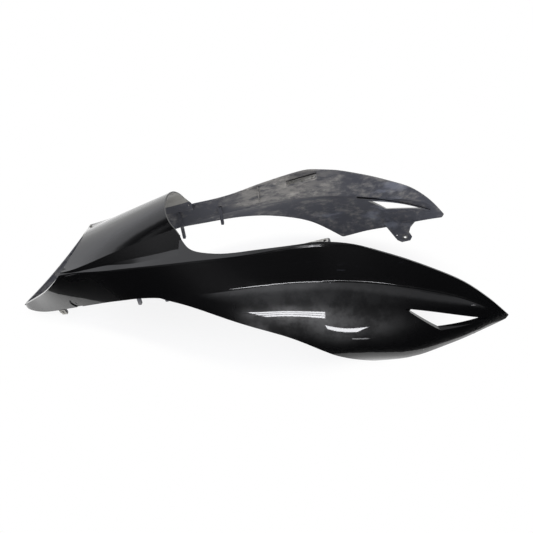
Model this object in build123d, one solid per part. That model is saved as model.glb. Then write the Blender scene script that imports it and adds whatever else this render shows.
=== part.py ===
from build123d import *
import math
import os

# One-piece motorbike tail cowl, rear mudguard kind. Millimetres, +X to the front of the bike, +Z up.
# The origin is under the middle of the moulding, on the plane it rests on.
# One side is built at +Y and mirrored.

# Wall and edge sizes
wall = 2.8
rimDepth = 6.5
rimThick = 2.6
creaseRadius = 1.6
skinGap = 1.2

# Stations of the side shell, from the tail to the front tip.
# Each row is x, then (y, z) of the ledge's inner edge, the ridge, the crease, the shoulder, the belly, the foot.
sideStations = [
    (-431, (-0.5, 66), (2.5, 62), (2.5, -5), (2.5, -12), (2.5, -18), (2.5, -25)),
    (-420, (5, 78), (10.5, 74), (10.5, -4), (10.5, -11), (10.5, -17), (10.5, -24)),
    (-400, (17, 96), (23, 92), (20, 0), (19.5, -8), (19, -15), (18.5, -22)),
    (-370, (40, 110), (46, 106), (33, 10), (31.7, 2), (30.6, -6), (29.5, -14)),
    (-335, (56, 126.3), (70, 117), (46, 22), (43.4, 12), (41, 2), (38.5, -8)),
    (-290, (66, 138.7), (80.5, 130), (61, 40), (58.7, 30), (56.5, 20), (54, 8)),
    (-235, (68, 144), (83.5, 137), (78.5, 58), (78, 48), (77.5, 38), (77, 26)),
    (-173, (64, 152.9), (89.5, 143.5), (97, 79), (100, 69), (103, 60), (107, 48)),
    (-117, (60, 163.8), (94.5, 150), (110, 96), (116, 88), (121, 80), (128, 68)),
    (-77, (50, 178.2), (97.5, 154.5), (118, 106), (122, 99), (127, 90), (136, 76)),
    (-30, (68, 179.2), (101, 159.8), (124, 114), (134.5, 104), (145, 88), (156, 68)),
    (32, (102, 179), (111.5, 171.5), (128, 123), (150, 105), (168, 78), (181, 50)),
    (86, (111, 191), (119.5, 184.5), (131.5, 130), (161, 105), (180, 67), (189, 30)),
    (129, (117, 199), (125, 192), (135, 133), (167, 105), (186.5, 57), (190, 15)),
    (174, (119, 197.5), (127, 191.5), (137.5, 132.5), (171, 103), (188.5, 55), (186, 5)),
    (225, (124, 189), (131.5, 184), (139.5, 127), (173, 99), (187.5, 55), (178, -12)),
    (285, (133, 173), (140, 168.5), (144.5, 117), (174.5, 94), (186, 58), (176, -4)),
    (340, (143, 151), (149.5, 147), (152, 105), (175, 85), (181, 62), (171, 12)),
    (385, (150, 122), (156.5, 118), (160.5, 89), (169, 77), (171, 63), (163, 27)),
    (415, (151, 99), (157, 95), (159.5, 72), (160.5, 65), (160, 56), (157, 34)),
    (440, (147, 79), (152.5, 75), (152.5, 63), (152, 57), (151.5, 49), (149.5, 34)),
]

# Stations of the hump over the seat end, whose crest climbs at a steady slope.
# Each row is x, then (y, drop) of two points on the arch and of the character line,
# then (y, z) of the hump's foot, the channel floor and its outer end.
crestX, crestZ, crestSlope = -264.0, 156.0, 0.393
humpStations = [
    (-290, (30, 3.8), (54, 10), (74.5, 11.8), (76.8, 129.8), (77.6, 127.8), (78.9, 127.4)),
    (-264, (30, 4.2), (55, 12), (76.3, 17), (78.3, 134.8), (79, 132.8), (80.9, 132.4)),
    (-213, (30, 4), (53, 12), (71.5, 21), (75, 143.5), (78.5, 137.5), (80.5, 139)),
    (-160, (28, 3.7), (49, 12.5), (63, 26), (71, 150), (80.2, 142), (82.3, 145.9)),
    (-110, (27, 4), (46, 15), (55.5, 32.5), (67, 156), (82, 149.8), (84.1, 153.1)),
    (-60, (26, 4), (43.5, 16), (50.5, 38), (63, 166), (84.4, 157.5), (86.5, 160)),
]

# The hump's front arch lies in one leaning plane through this point
archX, archZ, archLean = -101.0, 220.0, 0.62

# Plan line of the ledge's free edge beside the channel at the hump's foot, to the channel's blunt end
channelLine = [(-330, 66), (-264, 76.5), (-213, 78.7), (-173, 80), (-117, 82), (-78, 84)]
channelEnd = -77
channelEndWall = [(64, 161.5), (60, 170), (60, 172.2), (86, 158.7), (86, 154.5)]

# Plan line of the seat opening, from the arch's foot forward
seatLine = [(-77, 54), (-72, 62), (-62, 75), (-35, 88.5), (-6, 97), (32, 105.5), (86, 115.5),
            (129, 121), (174, 123.5), (215, 128)]

# Side view of the lower edge in three runs, and of the upper front edge
tailEdge = [(-432, 0), (-393, 4.5), (-337, 26), (-265, 54), (-173, 85), (-117, 96)]
armRearEdge = [(-117, 96), (-30, 88), (32, 78), (86, 65), (129, 49), (174, 27), (225, 0)]
armFrontEdge = [(225, 0), (285, 11), (348, 27), (389, 40), (429, 52)]
browEdge = [(432, 60), (418, 75), (400, 93), (380, 110), (353, 129), (309, 150), (266, 167.5),
            (226, 181), (196, 190), (167, 195), (129, 197.5)]
heelRadius = 12.0

# Lamp aperture in side view, a shallow arc from the tail tip to the crest
lampArc = [(-432, 8), (-350, 71), (-258, 161.5)]

# Vent in the front of each side panel: corners at the skin, and where the bevel ends inside
ventSkin = [(254, 176.5, 108), (319, 185, 64), (397, 168.5, 69)]
ventInside = [(268, 168, 97), (315, 176, 67), (385, 162, 70)]
ventDepth = 6.5
ventMargin = 4.0

# Locating pegs inside the wall: x, y, top z, tip z
pegs = [(-162, 87.5, 132, 66), (-111, 95.5, 138, 77), (-31, 109, 137, 96)]
pegWidth = 6.0
pegThick = 5.0

# Small gusset under the ledge, as (y, z)
gussetCorners = [(104, 176.5), (112.5, 172), (124.5, 136), (118, 136)]

# Front lug: a plate from the lower edge inwards, with a bush
lugOrigin = (350, 128.5, 11.5)
lugSlope, lugClimb = 0.5, 0.2
lugThick = 3.0
lugCorners = [(-34, 59), (-14, 7), (-6, 0), (12, 0), (17, 7), (14, 19), (20, 31), (35, 44)]
bushCentre = (3, 9)
bushRadius = 4.5
bushBore = 3.1
bushCollar = 6.0
bushProud = 1.5

# Upper tab under the ledge's front end, with a metal plate on it
tabCentre = (131, 112, 181)
tabTilt = 12.5
tabLength, tabWidth, tabThick = 60.0, 23.0, 2.6
tabHoles = 22.0
plateLength, plateWidth, plateThick = 54.0, 11.0, 1.2
plateShift = -4.5
plateHole = 2.6

# Tail lug with a folded metal clip, set parallel to the leaning wall
tailLug = (-333, 43.9, 27)
tailLean = 14.0
tailLugWidth, tailLugThick = 14.0, 3.0
tailLugUp, tailLugDown = 15.0, 15.0
tailHoleDrop = 7.5
tailHole = 3.4
clipTop = -2.0
clipGauge = 0.9
clipBoss = 3.0

# Round dimple and screw holes near the tail
dimple = (-288, 56)
dimpleRadius = 12.0
dimpleDepth = 1.8
dimplePad = 4.6
screwRadius = 2.6

reach = 320.0


def at(x, point):
    return Vector(x, point[0], point[1])


def towards(a, b, distance):
    k = distance / math.hypot(b[0] - a[0], b[1] - a[1])
    return (a[0] + (b[0] - a[0]) * k, a[1] + (b[1] - a[1]) * k)


# Moves an open line of (y, z) points sideways, to the inside of the moulding
def offsetLine(points, distance):
    normals = []
    for a, b in zip(points[:-1], points[1:]):
        length = math.hypot(b[0] - a[0], b[1] - a[1])
        normals.append(((b[1] - a[1]) / length, -(b[0] - a[0]) / length))
    moved = []
    for i, point in enumerate(points):
        before = normals[max(i - 1, 0)]
        after = normals[min(i, len(normals) - 1)]
        sy, sz = before[0] + after[0], before[1] + after[1]
        scale = 2 * distance / (sy * sy + sz * sz)
        moved.append((point[0] + sy * scale, point[1] + sz * scale))
    return moved


def sideSection(x, points, start, depth):
    inner = offsetLine(points, depth)
    ledge, ridge, crease, shoulder, belly, foot = offsetLine(points, start)
    r1, r2 = towards(ridge, ledge, creaseRadius), towards(ridge, crease, creaseRadius)
    c1, c2 = towards(crease, ridge, creaseRadius), towards(crease, shoulder, creaseRadius)
    return Wire([
        Line(at(x, ledge), at(x, r1)),
        Line(at(x, r1), at(x, r2)),
        Line(at(x, r2), at(x, c1)),
        Bezier(at(x, c1), at(x, crease), at(x, c2)),
        Spline(at(x, c2), at(x, shoulder), at(x, belly), at(x, foot)),
        Line(at(x, foot), at(x, inner[5])),
        Spline(at(x, inner[5]), at(x, inner[4]), at(x, inner[3]), at(x, inner[2])),
        Line(at(x, inner[2]), at(x, inner[1])),
        Line(at(x, inner[1]), at(x, inner[0])),
        Line(at(x, inner[0]), at(x, ledge)),
    ])


# Layer of the side wall between two depths under the skin
def sideShell(depth, start=0):
    return Solid.make_loft([sideSection(row[0], row[1:], start, depth) for row in sideStations])


def humpSection(x, row, start, depth):
    crest = crestZ + crestSlope * (x - crestX)
    skin = [(0, crest)] + [(y, crest - drop) for y, drop in row[:3]] + list(row[3:])
    outer, inner = offsetLine(skin, start), offsetLine(skin, depth)
    outer[0] = (0, crest - start)
    inner[0] = (0, crest - depth)
    edges = [Spline(*[at(x, p) for p in outer[:4]])]
    edges += [Line(at(x, a), at(x, b)) for a, b in zip(outer[3:-1], outer[4:])]
    edges.append(Line(at(x, outer[-1]), at(x, inner[-1])))
    back = inner[::-1]
    edges += [Line(at(x, a), at(x, b)) for a, b in zip(back[:3], back[1:4])]
    edges.append(Spline(*[at(x, p) for p in back[3:]]))
    edges.append(Line(at(x, inner[0]), at(x, outer[0])))
    return Wire(edges)


def humpShell(depth, start=0):
    return Solid.make_loft([humpSection(row[0], row[1:], start, depth) for row in humpStations])


def side(point):
    return Vector(point[0], -30, point[1])


def sidePrism(edges):
    return Solid.extrude(Face(Wire(edges)), Vector(0, reach, 0))


def chain(points):
    return [Line(side(a), side(b)) for a, b in zip(points[:-1], points[1:])]


# Everything inside this side view is kept
def sideOutline():
    edges = [Spline(*[side(p) for p in line]) for line in (tailEdge, armRearEdge, armFrontEdge)]
    edges.append(Line(side(armFrontEdge[-1]), side(browEdge[0])))
    edges.append(Spline(*[side(p) for p in browEdge]))
    edges += chain([browEdge[-1], (129, 330), (lampArc[2][0], 330), lampArc[2]])
    edges.append(ThreePointArc(side(lampArc[2]), side(lampArc[1]), side(lampArc[0])))
    edges.append(Line(side(lampArc[0]), side(tailEdge[0])))
    body = sidePrism(edges)

    def across(x, z):
        return [e for e in body.edges() if abs(e.length - reach) < 0.01
                and math.hypot(e.center().X - x, e.center().Z - z) < 0.5]

    body = body.fillet(heelRadius, across(*armRearEdge[-1]))
    body = body.fillet(3.5, across(*armFrontEdge[-1]) + across(*browEdge[0]))
    return body.fillet(3.0, across(*lampArc[0]) + across(*tailEdge[0]))


def archLine(z):
    return archX + (archZ - z) * archLean


# Slab between two planes that lean with the arch, in distances ahead of it
def archSlab(rear, front, low):
    corners = [(archLine(low) + rear, low), (archLine(low) + front, low), (archLine(330) + front, 330),
               (archLine(330) + rear, 330)]
    return sidePrism(chain(corners + corners[:1]))


# The hump up to its front arch. Its foot stops at the channel's end wall, under the ledge.
def hump():
    top = humpShell(wall) & archSlab(-400, 0, 60)
    below = Box(80, 2 * reach, 80, align=(Align.MIN, Align.CENTER, Align.MAX))
    return top - below.moved(Location((channelEnd + wall, 0, channelEndWall[1][1] + 1)))


# Band that follows the lamp aperture's edge
def lampBand():
    step = rimThick * 0.72
    outer = [(x - 1, z + 1) for x, z in lampArc]
    inner = [(x + step, z - step) for x, z in lampArc]
    return sidePrism([ThreePointArc(*[side(p) for p in outer]), Line(side(outer[2]), side(inner[2])),
                      ThreePointArc(*[side(p) for p in inner[::-1]]), Line(side(inner[0]), side(outer[0]))])


# Upright prism over a closed plan loop whose first run is a smooth line
def planPrism(line, corners, low):
    edges = [Spline(*[Vector(x, y, low) for x, y in line])]
    loop = [line[-1]] + corners + [line[0]]
    edges += [Line(Vector(*a, low), Vector(*b, low)) for a, b in zip(loop[:-1], loop[1:])]
    return Solid.extrude(Face(Wire(edges)), Vector(0, 0, 250))


# Frees the ledge from the hump, so that a channel runs between them
def channelCutter():
    end, start = channelLine[-1][0], channelLine[0][0]
    return planPrism(channelLine, [(end, -30), (start, -30)], 120)


def seatCutter():
    return planPrism(seatLine, [(245, 100), (245, -30), (seatLine[0][0], -30)], 120)


def polygonPlate(x, corners, thickness):
    loop = [at(x, c) for c in corners + corners[:1]]
    return Solid.extrude(Face(Wire([Line(a, b) for a, b in zip(loop[:-1], loop[1:])])), Vector(thickness, 0, 0))


def triangleLoft(front, back):
    wires = []
    for corners in (front, back):
        loop = [Vector(*c) for c in corners + corners[:1]]
        wires.append(Wire([Line(a, b) for a, b in zip(loop[:-1], loop[1:])]))
    return Solid.make_loft(wires, ruled=True)


def ventCutter():
    pairs = list(zip(ventSkin, ventInside))
    front = [tuple(s + (s - i) * 0.8 for s, i in zip(a, b)) for a, b in pairs]
    back = [tuple(i - (s - i) * 0.15 for s, i in zip(a, b)) for a, b in pairs]
    return triangleLoft(front, back)


def ventFrame():
    cx = sum(c[0] for c in ventSkin) / 3
    cz = sum(c[2] for c in ventSkin) / 3
    grown = []
    for x, y, z in ventSkin:
        k = 1 + ventMargin * 2 / math.hypot(x - cx, z - cz)
        grown.append((cx + (x - cx) * k, cz + (z - cz) * k))
    return sidePrism(chain(grown + grown[:1])) & sideShell(ventDepth, skinGap)


def peg(x, y, top, tip):
    body = Box(pegWidth, pegThick, top - tip).moved(Location((x, y, (top + tip) / 2)))
    ends = body.edges().group_by(Axis.Z)[0].filter_by(Axis.Y)
    return body.fillet(pegWidth * 0.3, ends)


def gusset():
    return polygonPlate(46, gussetCorners, 2.2)


def lugPlane():
    return Plane(origin=lugOrigin, x_dir=(1, 0, lugClimb), z_dir=(-lugClimb, -lugSlope, 1))


def frontLug():
    plate = extrude(lugPlane() * make_face(Polyline(*lugCorners, close=True)), lugThick)
    plate = fillet(plate.edges().filter_by(lambda e: abs(e.length - lugThick) < 0.01).sort_by(Axis.Y)[:3], 3.0)
    hole = lugPlane() * Pos(*bushCentre, lugThick / 2) * Cylinder(bushRadius, lugThick * 3)
    small = lugPlane() * Pos(-12, 18, lugThick / 2) * Cylinder(1.6, lugThick * 3)
    return plate - hole - small


def bush():
    sleeve = Pos(0, 0, lugThick / 2) * Cylinder(bushRadius, lugThick)
    sleeve += Pos(0, 0, lugThick + bushProud / 2) * Cylinder(bushCollar, bushProud)
    sleeve -= Cylinder(bushBore, lugThick * 6)
    return lugPlane() * Pos(*bushCentre, 0) * sleeve


def tabPlace():
    return Location(tabCentre, (0, -tabTilt, 0))


def tabHolePair(radius, depth):
    return [Pos(x, plateShift, 0) * Cylinder(radius, depth) for x in (-tabHoles, tabHoles)]


def upperTab():
    plate = Box(tabLength, tabWidth, tabThick)
    plate = fillet(plate.edges().filter_by(Axis.Z).sort_by(Axis.Y)[:2], 5.0)
    return tabPlace() * (plate - tabHolePair(plateHole + 0.6, tabThick * 3))


def tabPlate():
    plate = Box(plateLength, plateWidth, plateThick)
    plate = fillet(plate.edges().filter_by(Axis.Z), 4.0)
    plate = Pos(0, plateShift, 0) * plate - tabHolePair(plateHole, plateThick * 3)
    return tabPlace() * Pos(0, 0, (tabThick + plateThick) / 2) * plate


def tailPlace():
    return Location(tailLug, (-tailLean, 0, 0))


def tailLugPlate():
    height = tailLugUp + tailLugDown
    body = Pos(0, 0, tailLugUp - height / 2) * Box(tailLugWidth, tailLugThick, height)
    body = fillet(body.edges().group_by(Axis.Z)[0].filter_by(Axis.Y), 5.0)
    return tailPlace() * (body - Pos(0, 0, -tailHoleDrop) * Rot(90, 0, 0) * Cylinder(tailHole, 12))


# Folded clip over the tail lug's tip, with a plain threaded boss on its inner leaf
def tailClip():
    width = tailLugWidth - 4
    low = -tailLugDown - clipGauge
    inside = Pos(0, 0, (clipTop - tailLugDown) / 2) * Box(width + 2, tailLugThick, clipTop + tailLugDown)
    clip = Pos(0, 0, (clipTop + low) / 2) * Box(width, tailLugThick + 2 * clipGauge, clipTop - low) - inside
    bossY = -tailLugThick / 2 - clipGauge - clipBoss / 2
    clip += Pos(0, bossY, -tailHoleDrop) * Rot(90, 0, 0) * Cylinder(4.2, clipBoss)
    return tailPlace() * (clip - Pos(0, 0, -tailHoleDrop) * Rot(90, 0, 0) * Cylinder(2.4, 30))


def alongY(x, z, radius):
    return Cylinder(radius, reach).moved(Location((x, reach / 2, z), (90, 0, 0)))


def halfCowl():
    shell = sideShell(wall) - channelCutter()
    shell += hump() + polygonPlate(channelEnd, channelEndWall, wall)
    shell = shell - seatCutter()
    shell += ventFrame()
    shell += sideShell(dimplePad, skinGap) & alongY(*dimple, dimpleRadius + 3)
    rim = lampBand()
    shell += sideShell(rimDepth, skinGap) & rim
    shell += humpShell(rimDepth, skinGap) & rim
    shell = shell & sideOutline()
    shell -= ventCutter()
    shell -= sideShell(dimpleDepth, -2) & alongY(*dimple, dimpleRadius)
    shell -= alongY(*dimple, screwRadius)
    for row in pegs:
        shell += peg(*row)
    return shell + gusset() + frontLug() + upperTab() + tailLugPlate()


def tailCowl():
    half = halfCowl()
    return half + mirror(half, about=Plane.XZ)


def exportPair(name, shape):
    export_step(mirror(shape, about=Plane.XZ), "parts/%s_right.step" % name)
    export_step(shape, "parts/%s_left.step" % name)


def main():
    os.makedirs("parts", exist_ok=True)
    cowl = tailCowl()
    print("cowl solids", len(cowl.solids()), "valid", cowl.is_valid, "volume", round(cowl.volume))
    export_step(cowl, "parts/tail_cowl.step")
    exportPair("lug_bush", bush())
    exportPair("tab_plate", tabPlate())
    exportPair("edge_clip", tailClip())
    size = cowl.bounding_box()
    print("box", [round(v, 1) for v in (*size.min, *size.max)])


main()
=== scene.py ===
import math

import bmesh
import bpy
import numpy
from mathutils import Matrix, Vector


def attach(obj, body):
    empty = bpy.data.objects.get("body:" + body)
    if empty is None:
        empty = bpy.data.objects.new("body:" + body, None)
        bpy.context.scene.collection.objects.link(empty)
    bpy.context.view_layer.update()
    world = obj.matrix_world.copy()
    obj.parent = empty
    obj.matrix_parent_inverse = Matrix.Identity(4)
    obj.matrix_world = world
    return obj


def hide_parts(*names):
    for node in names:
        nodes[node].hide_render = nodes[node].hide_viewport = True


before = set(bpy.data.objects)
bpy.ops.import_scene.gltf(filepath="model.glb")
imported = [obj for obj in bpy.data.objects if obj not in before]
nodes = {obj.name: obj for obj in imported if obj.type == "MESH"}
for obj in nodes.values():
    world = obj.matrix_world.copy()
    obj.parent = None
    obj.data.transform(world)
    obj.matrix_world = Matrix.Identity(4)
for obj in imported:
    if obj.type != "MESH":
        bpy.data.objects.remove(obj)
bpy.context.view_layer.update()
print("frame loaded:", len(nodes), "nodes")

mm = 0.001


def linear(hexColour):
    values = [int(hexColour[i:i + 2], 16) / 255 for i in (1, 3, 5)]
    return tuple([v / 12.92 if v <= 0.04045 else ((v + 0.055) / 1.055) ** 2.4 for v in values] + [1.0])


def addNode(tree, kind, inputs=None, **settings):
    node = tree.nodes.new(kind)
    for key, value in settings.items():
        setattr(node, key, value)
    for key, value in (inputs or {}).items():
        if isinstance(value, bpy.types.NodeSocket):
            tree.links.new(value, node.inputs[key])
        else:
            node.inputs[key].default_value = value
    return node


def compute(tree, operation, a, b=0.0):
    return addNode(tree, "ShaderNodeMath", {0: a, 1: b}, operation=operation).outputs[0]


# 0 at low, 1 at high, smooth between
def ramp(tree, value, low, high):
    node = addNode(tree, "ShaderNodeMapRange", {"Value": value, "From Min": low, "From Max": high},
                   interpolation_type="SMOOTHSTEP")
    return node.outputs["Result"]


def inverted(tree, value):
    return compute(tree, "SUBTRACT", 1.0, value)


def product(tree, *values):
    result = values[0]
    for value in values[1:]:
        result = compute(tree, "MULTIPLY", result, value)
    return result


def highest(tree, *values):
    result = values[0]
    for value in values[1:]:
        result = compute(tree, "MAXIMUM", result, value)
    return result


def blendColours(tree, factor, first, second):
    node = addNode(tree, "ShaderNodeMix", {0: factor, 6: first, 7: second}, data_type="RGBA")
    return node.outputs[2]


def blendValues(tree, factor, first, second):
    return addNode(tree, "ShaderNodeMix", {0: factor, 2: first, 3: second}, data_type="FLOAT").outputs[0]


def newMaterial(name):
    material = bpy.data.materials.new(name)
    material.use_nodes = True
    tree = material.node_tree
    tree.nodes.clear()
    output = addNode(tree, "ShaderNodeOutputMaterial")
    shader = addNode(tree, "ShaderNodeBsdfPrincipled")
    tree.links.new(shader.outputs["BSDF"], output.inputs["Surface"])
    return material, tree, shader


def giveMaterial(piece, material):
    piece.data.materials.clear()
    piece.data.materials.append(material)


# Gloss black skin, plain matt and dusty inside. Places are in mm. A noise is its scale, detail, roughness
# and stretch, and a range is where its values begin and end to show.
skin = dict(
    black="#050506", haze=0.36, polish=0.028, coatIndex=1.5, sheen=0.11,
    inside="#4d4e54", dust="#bcb8af", blotch="#858994", insideRoughness=0.5,
    scratch="#23242a", speck="#c9ccd2",
    # how far a face's sideways and upward turn put it on the gloss side
    sideways=0.9, upward=0.36, turnRange=(-0.02, 0.05),
    # lowest and highest corners of the small parts that stay plain, mirrored in y
    plainBoxes=[((98, 99, 165), (165, 117.5, 191)), ((-167, 83, 60), (-157, 91, 126)),
                ((-116, 91, 70), (-106, 99.5, 126)), ((-36, 105, 90), (-26, 112.5, 133)),
                ((310, 118, 5), (392, 160, 40))],
    # dust and wipe marks inside
    clouds=(26, 7, 0.68, (1, 1, 1.5)), cloudRange=(0.46, 0.7), cloudShare=0.6,
    grain=(95, 5, 0.7, (0.35, 1, 1)), grainRange=(0.3, 0.6),
    dustFrom=(-30, 30), dustTo=(110, 240), dustAbove=(115, 135), dustShare=0.75, dustCover=0.62,
    smears=(11, 5, 0.6, (1, 1, 2.4)), smearRange=(0.52, 0.66), smearFrom=(120, 200), smearCover=0.55,
    # fine scratches and specks outside
    scratches=(150, 3, 0.6, (0.25, 1, 1.4)), scratchRange=(0.58, 0.74), scratchCover=0.5,
    scratchPatches=(19, 3), patchRange=(0.55, 0.72), scratchDulling=0.07,
    speckScale=34.0, speckGroups=(9, 2), groupRange=(0.5, 0.75), speckReach=0.04, speckCover=0.6,
    speckDulling=0.8,
    # the scuffed patch round the lower panel's swell
    scuffFrom=(-10, 60), scuffTo=(200, 300), scuffBelow=(112, 140), scuffAbove=(42, 78), scuff=0.62,
    scuffClouds=(30, 5, 0.62), scuffRange=(0.38, 0.62), scuffLeast=0.35,
    # a duller stretch of the ridge
    dullFrom=(90, 115), dullTo=(145, 175), dullAbove=184, dullness=0.14,
    # the smoother skin under the hump, whose pale colour is a painted reflection of the floor, and its half
    # width: at x 0, and its change with x
    underHump=((-330, -1, 112), (-60, 80, 225)), underGloss=0.13, underPaintedReflection="#8b8982",
    underEdge=(42.7, -0.13),
)


# a ramp over a place in mm
def rampOver(tree, value, span):
    return ramp(tree, value, *[v * mm for v in span])


def insideBox(tree, place, low, high):
    result = 1.0
    for axis in range(3):
        above = compute(tree, "GREATER_THAN", place[axis], low[axis] * mm)
        below = compute(tree, "LESS_THAN", place[axis], high[axis] * mm)
        result = product(tree, result, above, below)
    return result


def noiseAt(tree, vector, scale, detail=4.0, roughness=0.55, stretch=(1, 1, 1)):
    mapping = addNode(tree, "ShaderNodeMapping", {"Vector": vector, "Scale": stretch})
    inputs = {"Vector": mapping.outputs[0], "Scale": scale, "Detail": detail, "Roughness": roughness}
    return addNode(tree, "ShaderNodeTexNoise", inputs).outputs[0]


def turnedOut(tree, normal, y):
    nx, ny, nz = addNode(tree, "ShaderNodeSeparateXYZ", {0: normal}).outputs
    outward = product(tree, compute(tree, "SIGN", y), ny, skin["sideways"])
    return compute(tree, "ADD", outward, compute(tree, "MULTIPLY", nz, skin["upward"]))


# where the smoother skin under the hump is, which also gets a painted reflection of the floor as its colour
def smoothPaintedReflectionMask(tree, x, across, z):
    edge, slope = skin["underEdge"]
    halfWidth = compute(tree, "ADD", edge * mm, compute(tree, "MULTIPLY", x, slope))
    return product(tree, insideBox(tree, (x, across, z), *skin["underHump"]),
                   compute(tree, "LESS_THAN", across, halfWidth))


def dullMask(tree, x, z):
    return product(tree, rampOver(tree, x, skin["dullFrom"]), inverted(tree, rampOver(tree, x, skin["dullTo"])),
                   compute(tree, "GREATER_THAN", z, skin["dullAbove"] * mm))


def scuffMask(tree, point, x, z):
    clouds = ramp(tree, noiseAt(tree, point, *skin["scuffClouds"]), *skin["scuffRange"])
    lengthwise = product(tree, rampOver(tree, x, skin["scuffFrom"]),
                         inverted(tree, rampOver(tree, x, skin["scuffTo"])))
    upright = product(tree, inverted(tree, rampOver(tree, z, skin["scuffBelow"])),
                      rampOver(tree, z, skin["scuffAbove"]))
    return product(tree, lengthwise, upright, blendValues(tree, clouds, skin["scuffLeast"], 1.0))


def insideColour(tree, point, x, z, smoothWithPaintedReflection):
    clouds = ramp(tree, noiseAt(tree, point, *skin["clouds"]), *skin["cloudRange"])
    zone = product(tree, rampOver(tree, x, skin["dustFrom"]), inverted(tree, rampOver(tree, x, skin["dustTo"])),
                   rampOver(tree, z, skin["dustAbove"]))
    dusty = compute(tree, "ADD", compute(tree, "MULTIPLY", clouds, skin["cloudShare"]),
                    compute(tree, "MULTIPLY", zone, skin["dustShare"]))
    dusty = product(tree, dusty, ramp(tree, noiseAt(tree, point, *skin["grain"]), *skin["grainRange"]))
    smear = product(tree, ramp(tree, noiseAt(tree, point, *skin["smears"]), *skin["smearRange"]),
                    rampOver(tree, x, skin["smearFrom"]))
    colour = blendColours(tree, product(tree, smear, skin["smearCover"]), linear(skin["inside"]),
                          linear(skin["blotch"]))
    colour = blendColours(tree, product(tree, dusty, skin["dustCover"]), colour, linear(skin["dust"]))
    # under the hump the colour is a painted reflection of the pale floor
    return blendColours(tree, smoothWithPaintedReflection, colour, linear(skin["underPaintedReflection"]))


def scratchMask(tree, point):
    lines = ramp(tree, noiseAt(tree, point, *skin["scratches"]), *skin["scratchRange"])
    patches = ramp(tree, noiseAt(tree, point, *skin["scratchPatches"]), *skin["patchRange"])
    return product(tree, lines, patches)


def speckMask(tree, point):
    cells = addNode(tree, "ShaderNodeTexVoronoi", {"Vector": point, "Scale": skin["speckScale"]})
    groups = ramp(tree, noiseAt(tree, point, *skin["speckGroups"]), *skin["groupRange"])
    return compute(tree, "LESS_THAN", cells.outputs["Distance"],
                   compute(tree, "MULTIPLY", groups, skin["speckReach"]))


def mouldedBlack():
    material, tree, shader = newMaterial("glossBlackMouldedPlastic")
    coordinates = addNode(tree, "ShaderNodeTexCoord")
    point = coordinates.outputs["Object"]
    x, y, z = addNode(tree, "ShaderNodeSeparateXYZ", {0: point}).outputs
    across = compute(tree, "ABSOLUTE", y)
    turned = turnedOut(tree, coordinates.outputs["Normal"], y)
    plain = inverted(tree, ramp(tree, turned, *skin["turnRange"]))
    for low, high in skin["plainBoxes"]:
        plain = highest(tree, plain, insideBox(tree, (x, across, z), low, high))
    glossy = inverted(tree, plain)
    # the smoother skin under the hump: glossier, with a painted floor reflection as its colour
    smoothWithPaintedReflection = product(tree, plain, smoothPaintedReflectionMask(tree, x, across, z))
    scratched = scratchMask(tree, point)
    specks = speckMask(tree, point)

    outside = blendColours(tree, product(tree, scratched, skin["scratchCover"]), linear(skin["black"]),
                           linear(skin["scratch"]))
    outside = blendColours(tree, product(tree, specks, skin["speckCover"]), outside, linear(skin["speck"]))
    coatRoughness = compute(tree, "ADD", skin["polish"],
                            compute(tree, "MULTIPLY", scratched, skin["scratchDulling"]))
    clearOfSpecks = inverted(tree, product(tree, specks, skin["speckDulling"]))
    sockets = {
        "Base Color": blendColours(tree, plain, outside, insideColour(tree, point, x, z, smoothWithPaintedReflection)),
        "Roughness": blendValues(tree, plain, skin["haze"], skin["insideRoughness"]),
        "Specular IOR Level": blendValues(tree, product(tree, scuffMask(tree, point, x, z), glossy),
                                          skin["sheen"], skin["scuff"]),
        "Coat Weight": highest(tree, smoothWithPaintedReflection, product(tree, glossy, clearOfSpecks)),
        "Coat Roughness": highest(tree, coatRoughness, product(tree, dullMask(tree, x, z), skin["dullness"]),
                                  product(tree, smoothWithPaintedReflection, skin["underGloss"])),
    }
    for key, socket in sockets.items():
        tree.links.new(socket, shader.inputs[key])
    shader.inputs["Coat IOR"].default_value = skin["coatIndex"]
    return material


# stains on the small pieces: noise scale, detail and roughness, then its range and how rough they are
stain = dict(noise=(190, 5, 0.65), span=(0.42, 0.68), rougher=0.25)


def stainedFinish(name, colour, dark, roughness, metallic):
    material, tree, shader = newMaterial(name)
    point = addNode(tree, "ShaderNodeTexCoord").outputs["Object"]
    stains = ramp(tree, noiseAt(tree, point, *stain["noise"]), *stain["span"])
    tree.links.new(blendColours(tree, stains, linear(colour), linear(dark)), shader.inputs["Base Color"])
    rough = blendValues(tree, stains, roughness, roughness + stain["rougher"])
    tree.links.new(rough, shader.inputs["Roughness"])
    shader.inputs["Metallic"].default_value = metallic
    return material


black = mouldedBlack()
zinc = stainedFinish("stampedZincSteel", "#b4b3ae", "#6f6b64", 0.32, 1.0)
dull = stainedFinish("mouldedGreyBush", "#6a6a68", "#3b3a39", 0.5, 0.0)
giveMaterial(nodes["tail_cowl"], black)
for sideName in ("left", "right"):
    giveMaterial(nodes["tab_plate_" + sideName], zinc)
    giveMaterial(nodes["edge_clip_" + sideName], zinc)
    giveMaterial(nodes["lug_bush_" + sideName], dull)
print("materials given")

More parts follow.
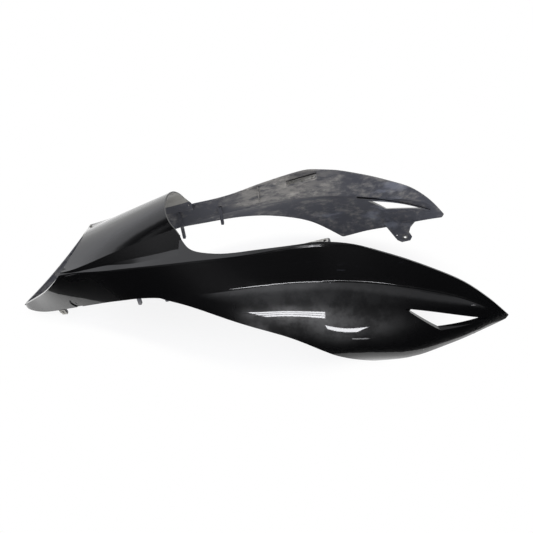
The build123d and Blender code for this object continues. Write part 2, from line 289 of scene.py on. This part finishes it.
# The moulding, with the lower panel's swell made fuller low down
swell = dict(
    # x and z of the crease, then depth below it and how far the skin goes out, all in mm
    crease=[(-30, 114), (32, 123), (86, 130), (129, 133), (174, 132.5), (225, 127), (285, 117), (340, 105),
            (385, 89)],
    out=[(-6, 0), (0, 0), (20, 0), (41, 0.3), (50, 0.8), (56, 1.5), (68, 3.4), (77, 4.8), (85, 5.6), (100, 6),
         (115, 3.6), (125, 0.5), (135, -3)],
    # where it starts and ends along x, leaves the inner wall in y and starts below the crease
    rise=(80, 165), fall=(260, 345), wall=(100, 118), below=(-1, 6),
    creaseOrder=4, outOrder=6, step=0.5, mergeDistance=2e-6,
)
creaseFit = numpy.polyfit(*zip(*swell["crease"]), swell["creaseOrder"])
outFit = numpy.polyfit(*zip(*swell["out"]), swell["outOrder"])


def smooth(low, high, value):
    t = numpy.clip((value - low) / (high - low), 0, 1)
    return t * t * (3 - 2 * t)


def swellAt(x, y, z):
    depth = numpy.polyval(creaseFit, x) - z
    amount = numpy.polyval(outFit, depth) * smooth(*swell["below"], depth)
    return (amount * smooth(*swell["rise"], x) * (1 - smooth(*swell["fall"], x))
            * smooth(*swell["wall"], numpy.abs(y)) * numpy.sign(y))


# The skin's normals over the swell, as one smooth field, so that its reflections run straight
field = dict(
    # where it takes over and gives way, along x and in depth below the crease, in mm
    start=(-10, 30), end=(215, 245), top=(13, 22), low=(84, 98), depths=(8, 104),
    # only beyond this y, and for faces turned outward by more than this
    across=118, outward=0.05,
    # the fit's middle, half size and orders, along x and in depth
    middle=(118, 56), half=(128, 48), orders=(5, 4),
)


def evened(normals, x, y, z):
    depth = numpy.polyval(creaseFit, x) - z
    side = numpy.sign(y)
    outward = (normals[:, 1] * side > field["outward"]) & (numpy.abs(y) > field["across"])
    weight = (smooth(*field["start"], x) * (1 - smooth(*field["end"], x))
              * smooth(*field["top"], depth) * (1 - smooth(*field["low"], depth)) * outward)
    near = outward & (x > field["start"][0]) & (x < field["end"][1])
    near &= (depth > field["depths"][0]) & (depth < field["depths"][1])
    u = (x - field["middle"][0]) / field["half"][0]
    v = (depth - field["middle"][1]) / field["half"][1]
    powers = [(i, j) for i in range(field["orders"][0] + 1) for j in range(field["orders"][1] + 1)]
    terms = numpy.stack([u ** i * v ** j for i, j in powers], axis=1)
    mirrored = normals * numpy.stack([numpy.ones_like(side), side, numpy.ones_like(side)], axis=1)
    fit = numpy.linalg.lstsq(terms[near], mirrored[near], rcond=None)[0]
    even = terms @ fit
    even[:, 1] *= side
    result = normals * (1 - weight[:, None]) + even * weight[:, None]
    return result / numpy.linalg.norm(result, axis=1)[:, None]


def readVectors(collection, name):
    values = numpy.empty(len(collection) * 3)
    collection.foreach_get(name, values)
    return values.reshape(-1, 3)


# the normals that go with the swell, by its slopes along x and z
def bentNormals(normals, x, y, z):
    e = swell["step"]
    slopeX = (swellAt(x + e, y, z) - swellAt(x - e, y, z)) / (2 * e)
    slopeZ = (swellAt(x, y, z + e) - swellAt(x, y, z - e)) / (2 * e)
    bent = normals.copy()
    bent[:, 0] -= slopeX * normals[:, 1]
    bent[:, 2] -= slopeZ * normals[:, 1]
    return bent / numpy.linalg.norm(bent, axis=1)[:, None]


def makeMoulding():
    mesh = nodes["tail_cowl"].data.copy()
    mesh.name = "cowlMoulding"
    normals = readVectors(mesh.corner_normals, "vector")
    points = readVectors(mesh.vertices, "co") / mm
    corner = numpy.empty(len(mesh.loops), dtype=int)
    mesh.loops.foreach_get("vertex_index", corner)
    x, y, z = points[corner].T
    bent = evened(bentNormals(normals, x, y, z), x, y, z)
    points[:, 1] += swellAt(*points.T)
    mesh.vertices.foreach_set("co", (points * mm).ravel())

    # the seams between the CAD faces are merged, and the normals kept through it
    kept = mesh.attributes.new("skinNormal", "FLOAT_VECTOR", "CORNER")
    kept.data.foreach_set("vector", bent.ravel())
    work = bmesh.new()
    work.from_mesh(mesh)
    bmesh.ops.remove_doubles(work, verts=work.verts, dist=swell["mergeDistance"])
    work.to_mesh(mesh)
    work.free()
    values = readVectors(mesh.attributes["skinNormal"].data, "vector")
    mesh.attributes.remove(mesh.attributes["skinNormal"])
    mesh.normals_split_custom_set([tuple(v) for v in values])

    piece = bpy.data.objects.new("cowlMoulding", mesh)
    bpy.context.scene.collection.objects.link(piece)
    giveMaterial(piece, black)
    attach(piece, "root")
    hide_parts("tail_cowl")
    print("moulding made:", len(mesh.polygons), "faces")


makeMoulding()

# Floor: a white sheet under the part, which turns to plain white away from it. Its front edge stays close,
# because the skin mirrors it.
sheet = dict(
    edge=[(-0.95, -0.02), (-0.48, -0.045), (-0.36, -0.09), (-0.2, -0.16), (0, -0.225), (0.16, -0.235),
          (0.3, -0.205), (0.42, -0.165), (0.95, -0.1), (0.95, 1.6), (-0.95, 1.6)], drop=0.1 * mm,
    colour="#fafafa", near=0.8, fade=(0.8, 1.0),
    # half length, half width at the tail and at the arms, and where the width grows
    reach=0.46, widths=(0.095, 0.23), grows=(-0.35, 0.15),
)


def makeFloor():
    mesh = bpy.data.meshes.new("floor")
    mesh.from_pydata([(x, y, 0) for x, y in sheet["edge"]], [], [tuple(range(len(sheet["edge"])))])
    floor = bpy.data.objects.new("floor", mesh)
    bpy.context.scene.collection.objects.link(floor)
    floor.location.z = -sheet["drop"]
    material, tree, shader = newMaterial("whitePaperFloor")
    shader.inputs["Base Color"].default_value = linear(sheet["colour"])
    shader.inputs["Roughness"].default_value = 1.0
    shader.inputs["Specular IOR Level"].default_value = 0.0
    point = addNode(tree, "ShaderNodeTexCoord").outputs["Object"]
    x, y, z = addNode(tree, "ShaderNodeSeparateXYZ", {0: point}).outputs
    width = blendValues(tree, ramp(tree, x, *sheet["grows"]), *sheet["widths"])
    along = compute(tree, "DIVIDE", x, sheet["reach"])
    across = compute(tree, "DIVIDE", y, width)
    squares = compute(tree, "ADD", product(tree, across, across), product(tree, along, along))
    distance = compute(tree, "SQRT", squares)
    far = blendValues(tree, ramp(tree, distance, *sheet["fade"]), sheet["near"], 1.0)
    ray = addNode(tree, "ShaderNodeLightPath")
    seen = highest(tree, ray.outputs["Is Camera Ray"], ray.outputs["Is Glossy Ray"],
                   ray.outputs["Is Transmission Ray"])
    white = addNode(tree, "ShaderNodeEmission", {"Color": (1, 1, 1, 1), "Strength": 1.0})
    mix = addNode(tree, "ShaderNodeMixShader", {0: product(tree, far, seen), 1: shader.outputs[0],
                                                2: white.outputs[0]})
    output = [n for n in tree.nodes if n.type == "OUTPUT_MATERIAL"][0]
    tree.links.new(mix.outputs[0], output.inputs["Surface"])
    giveMaterial(floor, material)


makeFloor()

# Tube lamps in front of the part. Each has its glow, the spans of its height that glow, and its four corners
# in metres: top left, top right, low right, low left.
lampColour = "#fbfbff"
lamps = [
    dict(name="nearTubes", glow=20.0, spans=[(0, 0.26), (0.34, 0.6), (0.7, 1)],
         corners=[(-0.723, -1.588, 0.89), (0.105, -1.827, 0.802),
                  (0.093, -1.919, 0.536), (-0.559, -1.768, 0.636)]),
    dict(name="middleTubes", glow=20.0, spans=[(0, 1)],
         corners=[(0.074, -1.967, 0.29), (0.601, -1.94, 0.125),
                  (0.516, -1.957, 0.02), (0.091, -1.98, 0.182)]),
    dict(name="farTube", glow=5.0, spans=[(0, 1)],
         corners=[(0.37, -1.362, -0.112), (0.488, -1.328, -0.196),
                  (0.497, -1.318, -0.234), (0.382, -1.355, -0.152)]),
    dict(name="cornerLamp", glow=16.0, spans=[(0, 1)],
         corners=[(1.45, -0.62, 1.05), (1.52, -0.56, 1.03), (1.52, -0.5, 0.98), (1.47, -0.55, 0.98)]),
]


def makeLamp(lamp):
    topLeft, topRight, lowRight, lowLeft = [Vector(c) for c in lamp["corners"]]
    points, faces = [], []
    for start, end in lamp["spans"]:
        first = len(points)
        for share in (start, end):
            points += [topLeft.lerp(lowLeft, share), topRight.lerp(lowRight, share)]
        faces.append((first, first + 1, first + 3, first + 2))
    mesh = bpy.data.meshes.new(lamp["name"])
    mesh.from_pydata(points, [], faces)
    panel = bpy.data.objects.new(lamp["name"], mesh)
    bpy.context.scene.collection.objects.link(panel)
    material, tree, _ = newMaterial(lamp["name"] + "Glow")
    glow = addNode(tree, "ShaderNodeEmission", {"Color": linear(lampColour), "Strength": lamp["glow"]})
    output = [n for n in tree.nodes if n.type == "OUTPUT_MATERIAL"][0]
    tree.links.new(glow.outputs[0], output.inputs["Surface"])
    giveMaterial(panel, material)
    panel.visible_camera = False


for lamp in lamps:
    makeLamp(lamp)

# The room: pale ceiling and back wall, darker in front. Strengths are radiances, and each pair is where, in a
# direction's x, y or z, one part of the room gives way to the next.
room = dict(
    tint="#f9faff", ceiling=1.25, front=0.36, wall=1.0, dark=0.02, fill=0.85,
    backward=(-0.45, -0.15), upward=(0.2, 0.5), ahead=(-0.15, 0.4), overhead=(0.5, 0.85), behind=(0.05, 0.35),
    # what is left of the ceiling and of the front towards +X
    ceilingAhead=0.4, frontAhead=0.2,
)


def makeWorld():
    world = bpy.data.worlds.new("studio")
    bpy.context.scene.world = world
    world.use_nodes = True
    tree = world.node_tree
    tree.nodes.clear()
    direction = addNode(tree, "ShaderNodeTexCoord").outputs["Generated"]
    x, y, z = addNode(tree, "ShaderNodeSeparateXYZ", {0: direction}).outputs
    back = ramp(tree, y, *room["backward"])
    up = ramp(tree, z, *room["upward"])
    rear = inverted(tree, ramp(tree, x, *room["ahead"]))
    low = product(tree, ramp(tree, y, *room["behind"]), inverted(tree, up))
    ceiling = product(tree, back, up, blendValues(tree, rear, room["ceilingAhead"], 1.0), room["ceiling"])
    front = product(tree, inverted(tree, back), ramp(tree, z, *room["overhead"]),
                    blendValues(tree, rear, room["frontAhead"], 1.0), room["front"])
    ray = addNode(tree, "ShaderNodeLightPath")
    fill = product(tree, ray.outputs["Is Diffuse Ray"], inverted(tree, back), room["fill"])
    total = room["dark"]
    for part in (ceiling, front, product(tree, low, room["wall"]), fill):
        total = compute(tree, "ADD", part, total)
    behind = product(tree, ray.outputs["Is Glossy Ray"], low)
    white = highest(tree, ray.outputs["Is Camera Ray"], ray.outputs["Is Transmission Ray"], behind)
    shown = addNode(tree, "ShaderNodeBackground", {"Color": (1, 1, 1, 1), "Strength": 1.0})
    lit = addNode(tree, "ShaderNodeBackground", {"Color": linear(room["tint"]), "Strength": total})
    mix = addNode(tree, "ShaderNodeMixShader", {0: white, 1: lit.outputs[0], 2: shown.outputs[0]})
    output = addNode(tree, "ShaderNodeOutputWorld")
    tree.links.new(mix.outputs[0], output.inputs["Surface"])


makeWorld()

# Camera, solved from the photo: its place in metres, angles in degrees, focal length in the photo's pixels
camera = dict(place=(0.09234, -0.6385, 0.55065), pitch=37.37, yaw=4.3, focal=430.0, frameWidth=533.0,
              sensor=36, clip=0.01)


def makeCamera():
    p, a = math.radians(camera["pitch"]), math.radians(camera["yaw"])
    right = Vector((math.cos(a), 0, -math.sin(a)))
    ahead = Vector((-math.sin(p) * math.sin(a), math.cos(p), -math.sin(p) * math.cos(a)))
    up = Vector((math.cos(p) * math.sin(a), math.sin(p), math.cos(p) * math.cos(a)))
    data = bpy.data.cameras.new("photoCamera")
    data.sensor_width = camera["sensor"]
    data.lens = camera["sensor"] * camera["focal"] / camera["frameWidth"]
    data.clip_start = camera["clip"]
    view = bpy.data.objects.new("photoCamera", data)
    bpy.context.scene.collection.objects.link(view)
    axes = Matrix((right, up, -ahead)).transposed().to_4x4()
    view.matrix_world = Matrix.Translation(camera["place"]) @ axes
    bpy.context.scene.camera = view


makeCamera()
bpy.context.scene.view_settings.view_transform = "Standard"
print("camera and lights made")
